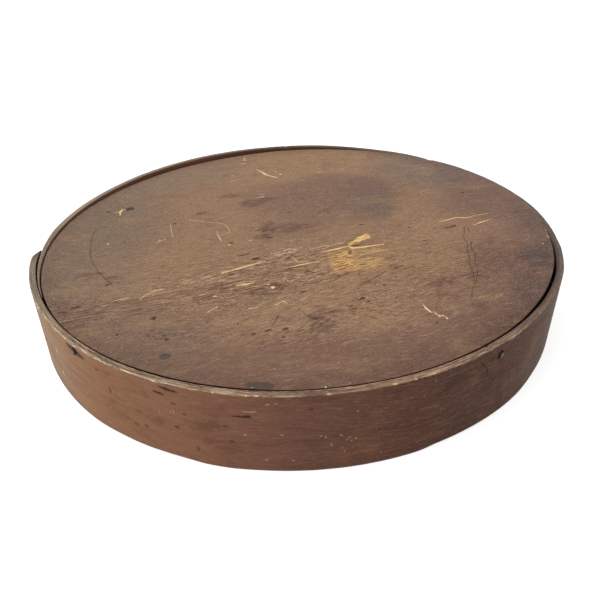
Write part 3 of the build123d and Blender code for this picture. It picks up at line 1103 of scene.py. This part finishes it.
def lid_board_material():
    """Darkened, scratched pine of the lid board."""
    shade = Shade("lid_board_wood")
    place = shade.place()
    strayed = place.wander(0.03, 9).wander(0.16, 2.4)
    ragged = place.wander(0.5, 0.5)
    grain = place.grain(grain_angle)
    fine = grain.drawn(1.6, 1.25, 5)
    fibres = grain.drawn(7, 0.9, 0)

    colour = board_mottle(shade.attribute("tone"), place)
    colour = board_fibres(colour, shade.attribute("worn"), grain, fine, fibres)
    colour = board_stains(colour, strayed, ragged, fine, fibres)
    colour = board_specks(colour, shade.attribute("specked"), place, grain)
    colour = board_lines(colour, ragged, fine)
    colour = bared_wood(colour, place, ragged, grain, fibres)
    colour = board_scratches(colour, ragged, fine)
    colour = board_edge(colour, ragged, fine)
    colour = board_side(colour, place)
    return shade.finish(colour, 0.6, fibres * -0.6 + fine * -0.5)


def smooth(value):
    """Smooth step of an array from 0 to 1."""
    value = np.clip(value, 0.0, 1.0)
    return value * value * (3 - 2 * value)


def painted_blot(places, x, y, long, high, angle, softness):
    """Mask of an ellipse at rows of x and y."""
    across = (places - (x, y)) @ np.array(polar(1 / long, angle))
    along = (places - (x, y)) @ np.array(polar(1 / high, angle + 90))
    low, high = (1 - softness) ** 2, (1 + softness) ** 2
    return smooth((high - across ** 2 - along ** 2) / (high - low))


def strayed_places(places, seed):
    """Rows of x and y, strayed by noise."""
    def stray(x, y, part):
        return 9 * bumpy(x / 33, y / 33, seed + part) + 2.4 * bumpy(x / 6, y / 6, seed + part + 5)

    return places + np.array([[stray(x, y, 0.5), stray(x, y, 1.5)] for x, y in places])


def paint_board(made):
    """Lays the broad tones and the worn and specked places of the lid board on its points."""
    mesh = made.data
    places = np.empty(len(mesh.vertices) * 3, np.float32)
    mesh.vertices.foreach_get("co", places)
    places = places.reshape(-1, 3)[:, :2].astype(float) / MM
    strayed = strayed_places(places, 1.0)
    tone = np.tile(srgb(*board_ground)[:3], (len(places), 1))
    # Broad tones, whose grey veils are partly a painted sheen reflection
    for x, y, long, high, angle, colour, strength, softness in board_tones:
        mask = painted_blot(strayed, x, y, long, high, angle, softness) * strength
        tone += mask[:, None] * (np.array(srgb(*colour)[:3]) - tone)
    grime = np.array([round_the_ring(edge_grime, degrees(atan2(y, x)) % 360) for x, y in places])
    grime *= smooth((np.hypot(*strayed.T) - 170) / 18) * 0.75
    tone += grime[:, None] * (np.array(srgb(*grime_tone)[:3]) - tone)
    worn = np.max([painted_blot(strayed, *blot, 0.6) * strength for *blot, strength in worn_places], 0)
    calm = smooth((places[:, 1] + 165) / 60) * 0.45 + 0.55
    dark = np.max([painted_blot(strayed, *blot, 0.6) for blot in dark_clusters], 0)
    pale = np.max([painted_blot(strayed, *blot, 0.6) for blot in pale_clusters], 0)
    late = np.max([painted_blot(strayed, *blot, 0.5) for blot in late_wood_places], 0)
    layers = {"tone": tone, "worn": np.stack([worn, calm, late], 1),
              "specked": np.stack([dark, pale, worn], 1)}
    for name, layer in layers.items():
        attribute = mesh.attributes.new(name, "FLOAT_VECTOR", "POINT")
        attribute.data.foreach_set("vector", layer.astype(np.float32).ravel())


def board_mottle(colour, place):
    """Tones of the lid board with its mottle."""
    colour = colour.tint(place.noise(0.07, 4, 0.62).ease(0.48, 0.72), 0.45, (124, 95, 84))
    colour = colour.tint(place.drawn(2.2, 0.045, 31, 4, 0.65).ease(0.5, 0.75), 0.45, (164, 132, 98))
    return colour.tint(place.drawn(1.8, 0.1, 47, 3).ease(0.55, 0.75), 0.3, (118, 104, 90))


def board_fibres(colour, marks, grain, fine, fibres):
    """Colour with the fine grain, which shows most where the board is worn."""
    worn, calm, late = marks.axes()
    colour = colour.tint(grain.drawn(5, 0.24, 14, 3).ease(0.54, 0.78), 0.32, (102, 70, 56))
    threads = grain.drawn(60, 0.75, 9)
    colour = colour.tint(late * threads.ease(0.52, 0.57), 0.44, (74, 46, 34))
    colour = colour.tint(late * threads.ease(0.46, 0.41), 0.26, (204, 168, 134))
    strength = worn.ease(0, 1, 0.25, 0.95)
    colour = colour.tint(fibres.ease(0.5, 0.76) * strength, 1, dark_wood)
    colour = colour.tint(fibres.ease(0.48, 0.26) * strength, 0.5, pale_wood)
    scuffs = grain.drawn(5, 0.62, 55)
    colour = colour.tint(scuffs.ease(0.6, 0.66) * worn, 0.7, (84, 44, 22))
    colour = colour.tint(scuffs.ease(0.4, 0.34) * worn, 0.38, (214, 180, 146))
    colour = colour.tint(fine.ease(0.5, 0.76) * calm, 0.46, dark_wood)
    return colour.tint(fine.ease(0.48, 0.26) * calm, 0.24, pale_wood)


def board_stains(colour, strayed, ragged, fine, fibres):
    """Colour with the purple and grey blots."""
    mask = strayed.blots("purple_blots", purple_blots, 0.8).ease(0.1, 0.9)
    colour = colour.tint(mask * fibres.ease(0.36, 0.6, 0.25, 1), 0.55, (88, 62, 60))
    mask = ragged.blots("grey_blots", grey_blots, 0.5).chewed(fine, 0.8)
    return colour.tint(mask, 0.75, (76, 70, 64))


def board_specks(colour, marks, place, grain):
    """Colour with scattered dark specks and pale flecks, many where the lists say."""
    dark, pale, worn = marks.axes()
    where = place.noise(0.035)
    more = dark * 0.1 + worn * 0.03
    pits = grain.drawn(2.2, 0.7, 20, 1, 0.4) + more
    colour = colour.tint(pits.ease(0.7, 0.76) * where.ease(0.3, 0.5, 0.4, 1), 0.62, (64, 42, 34))
    more = pale * 0.11 + worn * 0.03
    chips = grain.drawn(3.2, 0.9, 40, 1, 0.4) + more
    return colour.tint(chips.ease(0.75, 0.81), 0.5, (216, 186, 156))


def board_lines(colour, ragged, fine):
    """Colour with the thin dark lines and the dark spots."""
    broken = fine.ease(0.58, 0.44, 0.15, 1)
    colour = colour.tint(ragged.strokes("faint_lines", faint_lines, 0.4) * broken, 0.66, (80, 54, 46))
    colour = colour.tint(ragged.strokes("dark_lines", dark_lines, 0.3) * broken, 0.8, (68, 42, 36))
    colour = colour.tint(ragged.strokes("dark_dents", dark_dents, 0.35), 0.75, (50, 34, 28))
    mask = ragged.blots("dark_spots", dark_spots, 0.55).chewed(fine, 1.5)
    return colour.tint(mask, 0.72, (56, 40, 35))


def bared_wood(colour, place, ragged, grain, fibres):
    """Colour with the pale gouges and the bare patch beside them."""
    torn = place.wander(0.3, 2.6)
    hatch = grain.drawn(7, 0.8, 60)
    hatch = hatch * 0.7 + place.noise(0.55, 2, 0.6) * 0.3
    bare = most([torn.patch(33, -53, 9.5, 14, 4, 0.3), torn.blot(50, -56, 11, 11, 20, 0.5) * 0.55,
                 torn.blot(54, -42, 16, 3, 12, 0.5) * 0.5])
    colour = colour.tint(bare * hatch.ease(0.48, 0.58), 0.65, (100, 58, 26))
    colour = colour.tint(bare * hatch.ease(0.57, 0.42, 0.15, 1), 0.95, (223, 174, 112))
    colour = colour.tint(ragged.blot(38.6, -40.8, 1.2, 3, -5, 0.9).chewed(hatch, 2), 0.6, (90, 66, 48))
    wedge = place.wander(0.5, 1.6).strokes("wedge", wedge_lines, 0.6)
    ripped = place.grain(42).drawn(8, 1.1, 70)
    colour = colour.tint(wedge, 0.85, (206, 150, 86))
    colour = colour.tint(wedge * ripped.ease(0.56, 0.44), 0.95, (246, 208, 138))
    lines = place.strokes("gouges", [(width, points) for width, depth, points in gouges], 0.35, pointed=True)
    lines = lines * fibres.ease(0.66, 0.52, 0.7, 1)
    colour = colour.tint(most([lines, ragged.blots("gouge_spots", gouge_spots, 0.4)]), 0.97, (244, 207, 142))
    colour = colour.tint(ragged.blot(57.5, -24.5, 6.5, 4, 20, 0.6), 0.3, (120, 74, 62))
    return colour.tint(ragged.blot(43.6, -30.8, 3.2, 1.3, 10, 0.4), 0.85, (110, 62, 42))


def board_scratches(colour, ragged, fine):
    """Colour with the thin pale scratches and spots."""
    mask = ragged.strokes("pale_scratches", pale_scratches, 0.35)
    colour = colour.tint(mask * fine.ease(0.6, 0.4, 0.3, 1), 0.82, (228, 200, 164))
    mask = ragged.blots("pale_spots", pale_spots, 0.5).chewed(fine, 1)
    colour = colour.tint(mask, 0.75, (230, 204, 170))
    mask = most([ragged.strokes("bright_scratches", bright_scratches, 0.35, pointed=True),
                 ragged.blots("bright_spots", bright_spots, 0.5)])
    return colour.tint(mask, 0.88, (242, 214, 168))


def board_edge(colour, ragged, fine):
    """Colour with the rubbed stretch and the chips of the lid board's edge."""
    mask = ragged.strokes("rubbed_edge", rubbed_edge, 0.5)
    colour = colour.tint(mask * fine.ease(0.58, 0.46, 0.3, 1), 0.62, (210, 150, 106))
    return colour.tint(ragged.blots("edge_chips", edge_chips, 0.4).chewed(fine, 0.8), 0.62, (218, 158, 112))


def board_side(colour, place):
    """Colour that turns to a near black painted shade on the board's side, and to raw wood on its underside.
    """
    normal = place.shade.add("ShaderNodeNewGeometry", {}, "True Normal").axes()[2]
    raw = place.grain(grain_angle).drawn(20, 0.6, 80, 3).ease(0.35, 0.65)
    wood = raw.mix(srgb(150, 122, 92), srgb(120, 92, 68))
    wood = wood.tint(place.noise(0.03, 3, 0.6).ease(0.5, 0.72), 0.5, (96, 76, 62))
    # Painted shade of the gap to the band, near black on the board's side
    wood = wood.tint(normal.ease(-0.7, -0.2), 1, (40, 30, 25))
    return normal.ease(0.75, 0.3).mix(colour, wood)


def band_place(angle):
    """Place along the lid band's outside at an angle."""
    return radians((angle - 180) % 360 - 180) * lid_radius


def on_band(marks):
    """Marks with their place along the band instead of their angle."""
    return [(band_place(angle), *rest) for angle, *rest in marks]


def lid_band_material():
    """Reddish brown stained band, worn bare on its rim, with painted light left and painted shade right."""
    shade = Shade("lid_band_wood")
    strip = shade.strip()
    around = strip.axes()[0] * degrees(1 / lid_radius)
    grain = strip.grain(-1.5)
    fine = grain.drawn(2.5, 1.1, 3)
    fibres = grain.drawn(16, 0.9, 0)
    streaks = grain.drawn(9, 0.16, 8, 3)
    blotch = strip.drawn(1.6, 0.06, 12, 4)
    ragged = strip.wander(0.5, 0.6)

    # Stained colour round the band, with painted light on its left and painted shade on its right
    colour = around.stations(band_colours)
    colour = colour.tint(blotch.ease(0.52, 0.72), 0.35, (74, 48, 38))
    colour = colour.tint(blotch.ease(0.46, 0.28), 0.3, (164, 116, 82))
    rough = around.ease(-115, -50, 0.7, 1.3)
    colour = colour.tint(streaks.ease(0.5, 0.72) * rough, 0.36, (84, 46, 38))
    colour = colour.tint(streaks.ease(0.45, 0.28), 0.2, (100, 82, 62))
    for lines, dark, pale in ((fibres, 0.22, 0.14), (fine, 0.24, 0.12)):
        colour = colour.tint(lines.ease(0.5, 0.75) * rough, dark, (52, 32, 26))
        colour = colour.tint(lines.ease(0.46, 0.26) * rough, pale, (214, 176, 146))
    colour = band_marks(colour, ragged, fine, fibres)
    colour = rim(colour, strip, around)
    colour = band_inside(colour, strip, around, fibres)
    return shade.finish(colour, 0.58, fibres * -0.6 + fine * -0.4)


def band_marks(colour, ragged, fine, fibres):
    """Colour with the dark and pale marks on the lid band's outside."""
    stains = ragged.blots("band_stains", on_band(band_stains), 0.8)
    colour = colour.tint(stains * fibres.ease(0.36, 0.6, 0.3, 1), 0.4, (70, 60, 44))
    mask = ragged.blots("band_dark_marks", on_band(band_dark_marks), 0.8).chewed(fine, 1.3)
    colour = colour.tint(mask, 0.8, (48, 34, 34))
    mask = ragged.blots("band_brown_marks", on_band(band_brown_marks), 0.7).chewed(fine, 1.6)
    colour = colour.tint(mask, 0.5, (72, 44, 34))
    lines = [(width, on_band(points)) for width, points in band_dark_lines]
    colour = colour.tint(ragged.strokes("band_dark_lines", lines, 0.5), 0.55, (50, 32, 28))
    mask = ragged.blots("band_pale_marks", on_band(band_pale_marks), 0.6).chewed(fine, 1.4)
    colour = colour.tint(mask, 0.55, pale_fleck)
    mask = ragged.blots("band_bright_marks", on_band(band_bright_marks), 0.4)
    colour = colour.tint(mask, 0.92, (240, 226, 204))
    flecks = ragged.noise(0.45, 1, 0.4).ease(0.72, 0.78) * ragged.noise(0.03, 1).ease(0.5, 0.6)
    return colour.tint(flecks, 0.4, pale_fleck)


def rim_wood(strip, around):
    """Bare wood of the rim's top with its hatch, which is strongest at the front left."""
    bare = around.stations(rim_colours)
    bright = around.ease(-70, -44, 1, 0.3) * around.ease(-148, -132, 0.4, 1)
    for length, scale, seed in ((6, 1.6, 21), (22, 1.3, 25)):
        hatch = strip.drawn(length, scale, seed)
        bare = bare.tint(hatch.ease(0.5, 0.62) * bright, 0.48, (62, 45, 36))
        bare = bare.tint(hatch.ease(0.47, 0.36) * bright, 0.42, (210, 180, 150))
    return bare


def rim_lines(strip, around, deep, dashes):
    """Mask of the pale, broken lines along the rim's outer edge at the front."""
    wobble = deep + (strip.drawn(6, 0.3, 33) - 0.5) * 1.7
    lines = most([wobble.near(0.55, 0.5, 0.28) * dashes.ease(0.49, 0.53),
                  wobble.near(1.6, 0.35, 0.1) * dashes.ease(0.5, 0.42, 0, 0.35)])
    weight = most([around.ease(-100, -116, 0.35, 1), around.ease(-72, -60, 0, 0.5)])
    broken = strip.drawn(2.5, 0.9, 45).ease(0.44, 0.54, 0.4, 1)
    front = around.ease(-34, -52) * around.ease(-160, -148)
    return lines * weight * broken * front


def rim(colour, strip, around):
    """Colour with the rim's bare top and its worn, broken outer edge."""
    up, deep = strip.axes()[1:]
    on_top = up.ease(lid_high - 0.7, lid_high - 0.3)
    near_top = up.ease(lid_high - 1.3, lid_high - 0.6)
    colour = on_top.mix(colour, rim_wood(strip, around))
    frayed = up + (strip.drawn(3, 0.6, 39) - 0.5) * 7
    frayed = frayed.ease(lid_high - 0.4, lid_high + 0.2) * deep.ease(1.2, 0.6)
    colour = colour.tint(frayed * around.ease(-42, -66, 0.4, 1), 0.35, (184, 150, 114))
    scuffed = around.near(-83, 10, 5) * deep.ease(2.9, 1.4) * near_top
    colour = colour.tint(scuffed, 0.75, (116, 86, 72))
    chips = [(band_place(angle), lid_high - 0.2, half, 0.5, 0) for angle, half in rim_chips]
    chips = strip.wander(0.8, 0.8).blots("rim_chips", chips, 0.4) * deep.ease(1.3, 0.5)
    colour = colour.tint(chips, 0.75, (226, 188, 142))
    dashes = strip.drawn(9, 0.8, 27)
    colour = colour.tint(rim_lines(strip, around, deep, dashes) * near_top, 0.82, (246, 219, 186))
    rubbed = around.near(-76, 11, 5) * on_top * dashes.ease(0.56, 0.44)
    colour = colour.tint(rubbed, 0.22, (196, 156, 116))
    return colour.tint(around.ease(-170.5, -173.5), 0.65, (74, 62, 50))


def band_inside(colour, strip, around, fibres):
    """Colour with the band's inside above the board, and painted shade in the front gap and inside the lap.
    """
    up, deep = strip.axes()[1:]
    inside = deep.ease(lid_band_thickness - 0.5, lid_band_thickness - 0.2)
    inside = inside * up.ease(lid_high - 0.2, lid_high - 0.5)
    raw = fibres.ease(0.35, 0.65).mix(srgb(146, 116, 86), srgb(112, 84, 62))
    # Darker further below the rim, and darker at the back
    inside_tone = up.stations([(lid_high - below, tone) for below, tone in inside_depth_colours])
    inside_tone = inside_tone.tint(fibres.ease(0.45, 0.65), 0.3, (70, 44, 36))
    inside_tone = inside_tone.tint(around.near(88, 34, 14), 0.5, (70, 44, 36))
    colour = inside.mix(colour, up.ease(40, 46).mix(raw, inside_tone))
    sooty = deep.ease(1.8, 3.4) * up.ease(lid_high - 1.4, lid_high - 0.8) * around.near(-25, 24, 12)
    colour = colour.tint(sooty, 0.4, (56, 46, 42))
    # Painted shade of the gap between rim and board, on the rim's inner edge at the front
    painted_gap_shade = deep.ease(4.2, 4.5) * around.near(-92, 42, 32)
    colour = colour.tint(painted_gap_shade, 0.7, (40, 27, 21))
    # Painted shade on the two faces that look at each other across the lap's gap
    free = around.ease(-142, -145) * deep.ease(3.6, 4.2)
    held = around.ease(186, 191) * deep.ease(1, 0.3)
    below = up.ease(lid_high - 0.4, lid_high - 1.4)
    colour = colour.tint(most([free, held]) * below, 0.9, (38, 30, 26))
    return colour.tint(up.ease(lid_low + 1.4, lid_low + 0.4), 0.35, (160, 122, 96))


def raw_wood_material(name, light, dark, stain, strip_grain):
    """Bare wood that stayed clean under the lid, with grain along a band or across a board."""
    shade = Shade(name)
    place = shade.strip() if strip_grain else shade.place()
    grain = place.grain(0 if strip_grain else base_grain_angle)
    fibres = grain.drawn(22, 0.9, 0, 3)
    lines = grain.drawn(60, 0.3, 9)
    colour = fibres.ease(0.3, 0.7).mix(srgb(*light), srgb(*dark))
    colour = colour.tint(lines.ease(0.54, 0.66), 0.5, stain)
    colour = colour.tint(place.noise(0.025, 4, 0.6).ease(0.52, 0.72), 0.45, stain)
    return shade.finish(colour, 0.68, fibres * -0.6 + lines * -0.4)


def iron_material():
    """Dark oxidised iron, rubbed grey on its crowns."""
    shade = Shade("nail_iron")
    crown = shade.strip().axes()[0]
    rust = shade.place().noise(0.9, 3, 0.65)
    rubbed = rust.ease(0.4, 0.6).mix(srgb(138, 127, 120), srgb(98, 85, 77))
    colour = crown.ease(0.5, 0.95).mix(srgb(34, 27, 25), rubbed)
    return shade.finish(colour, 0.6, rust, 0.0003, 0.2)


def dressed(piece, body, material, node):
    """Gives a piece its material and its body, and hides the part of the model that it stands for."""
    piece.data.materials.append(material)
    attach(piece, body)
    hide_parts(node)


def gouge_depth(x, y):
    """How deep the lid board's top is cut at a point, with a faint unevenness."""
    depth = 0.08 * bumpy(x / 30, y / 9, 2.0)
    for half_width, deep, points in gouges:
        away = min(segment_distance(x, y, a, b) for a, b in zip(points, points[1:]))
        depth += deep * max(0.0, 1 - (away / (half_width * 1.3)) ** 2)
    return depth


def segment_distance(x, y, a, b):
    """Distance of a point from the straight line between a and b."""
    run_x, run_y = b[0] - a[0], b[1] - a[1]
    share = ((x - a[0]) * run_x + (y - a[1]) * run_y) / (run_x ** 2 + run_y ** 2)
    share = min(max(share, 0.0), 1.0)
    return hypot(x - a[0] - share * run_x, y - a[1] - share * run_y)


def faint_relief(x, y):
    """The faint unevenness of a flat top."""
    return 0.08 * bumpy(x / 30, y / 9, 3.0)


def build_lid(iron):
    """The four pieces of the lid."""
    wear = Wear(lid_wear_seed, lid_rounding, lid_worn, lid_nicks, True)
    made = band("lid_band_worn", lid_shape, lid_low, lid_high, wear, lid_band_step)
    dressed(made, "lid", lid_band_material(), "lid_band")
    rings = lid_board_rings
    made = board("lid_board_worn", lid_board_radius, lid_board_thickness, rings, lid_board_rounding,
                 gouge_depth, lid_board_to_row)
    paint_board(made)
    dressed(made, "lid", lid_board_material(), "lid_board")
    made = fasteners("lid_nails_worn", lid_nail_set())
    dressed(made, "lid", iron, "lid_board_nails")
    tack_top = lid_high - lid_board_sunk - lid_board_thickness - tack_room
    made = fasteners("lid_tacks_worn", lap_tack_set(lid_shape, wear, lid_low, tack_top))
    dressed(made, "lid", iron, "lid_lap_tacks")


def build_base(iron):
    """The four pieces of the base."""
    wear = Wear(base_wear_seed, base_rounding, base_worn, base_nicks, False)
    made = band("base_band_worn", base_shape, 0.0, base_high, wear, base_band_step)
    material = raw_wood_material("base_band_wood", (186, 150, 112), (156, 120, 86), (122, 90, 64), True)
    dressed(made, "base", material, "base_band")
    made = board("base_board_worn", base_board_radius, base_board_thickness, base_board_rings,
                 base_board_rounding, faint_relief, base_board_to_row)
    material = raw_wood_material("base_board_wood", (190, 156, 118), (164, 128, 92), (128, 98, 72), False)
    dressed(made, "base", material, "base_board")
    made = fasteners("base_nails_worn", base_nail_set())
    dressed(made, "base", iron, "base_board_nails")
    made = fasteners("base_tacks_worn", lap_tack_set(base_shape, wear, base_board_thickness, base_high))
    dressed(made, "base", iron, "base_lap_tacks")


def floor():
    """A wide pale floor that keeps a faint shadow, and looks white to the camera."""
    corners = [(-1, -1), (1, -1), (1, 1), (-1, 1)]
    mesh = bpy.data.meshes.new("floor")
    points = [(x * floor_half * MM, y * floor_half * MM, floor_level * MM) for x, y in corners]
    mesh.from_pydata(points, [], [(0, 1, 2, 3)])
    ground = bpy.data.objects.new("floor", mesh)
    bpy.context.scene.collection.objects.link(ground)
    shade = Shade("floor_white")
    paint = shade.add("ShaderNodeBsdfDiffuse", {"Color": (0.62, 0.62, 0.62, 1)})
    glow = shade.add("ShaderNodeEmission", {"Color": (1, 1, 1, 1), "Strength": 0.7})
    lit = shade.add("ShaderNodeAddShader", {0: paint, 1: glow})
    out = shade.add("ShaderNodeMixShader", {0: white_rays(shade), 1: paint, 2: lit})
    shade.node("ShaderNodeOutputMaterial", {"Surface": out})
    mesh.materials.append(shade.material)


def white_rays(shade):
    """1 for rays from the camera and for those that gloss or glass sends on."""
    path = shade.node("ShaderNodeLightPath", {}).outputs
    return most([Channel(shade, path[f"Is {kind} Ray"]) for kind in ("Camera", "Glossy", "Transmission")])


def sky():
    """Even white light, and a white background to the camera."""
    world = bpy.data.worlds.new("sky")
    bpy.context.scene.world = world
    world.use_nodes = True
    tree = world.node_tree
    tree.nodes.clear()
    path = tree.nodes.new("ShaderNodeLightPath")
    strength = tree.nodes.new("ShaderNodeMapRange")
    strength.inputs["To Min"].default_value = sky_strength
    strength.inputs["To Max"].default_value = 1.0
    tree.links.new(path.outputs["Is Camera Ray"], strength.inputs["Value"])
    back = tree.nodes.new("ShaderNodeBackground")
    back.inputs["Color"].default_value = (1, 1, 1, 1)
    tree.links.new(strength.outputs[0], back.inputs["Strength"])
    out = tree.nodes.new("ShaderNodeOutputWorld")
    tree.links.new(back.outputs[0], out.inputs["Surface"])


def lamp(name, place, size, watts):
    """A square soft lamp that faces the box."""
    data = bpy.data.lights.new(name, "AREA")
    data.size = size
    data.energy = watts
    made = bpy.data.objects.new(name, data)
    made.location = place
    made.rotation_euler = (Vector(lamp_aim) - Vector(place)).to_track_quat("-Z", "Y").to_euler()
    bpy.context.scene.collection.objects.link(made)


def camera():
    """The photograph's camera."""
    data = bpy.data.cameras.new("camera")
    data.lens = camera_lens
    data.sensor_width = camera_sensor
    made = bpy.data.objects.new("camera", data)
    axes = Matrix((camera_right, camera_up, [-part for part in camera_forward])).transposed()
    made.matrix_world = Matrix.Translation(Vector(camera_place) * MM) @ axes.to_4x4()
    bpy.context.scene.collection.objects.link(made)
    bpy.context.scene.camera = made


nail_iron = iron_material()
build_lid(nail_iron)
build_base(nail_iron)
floor()
sky()
for settings in lamps:
    lamp(*settings)
camera()
bpy.context.scene.view_settings.view_transform = "Standard"
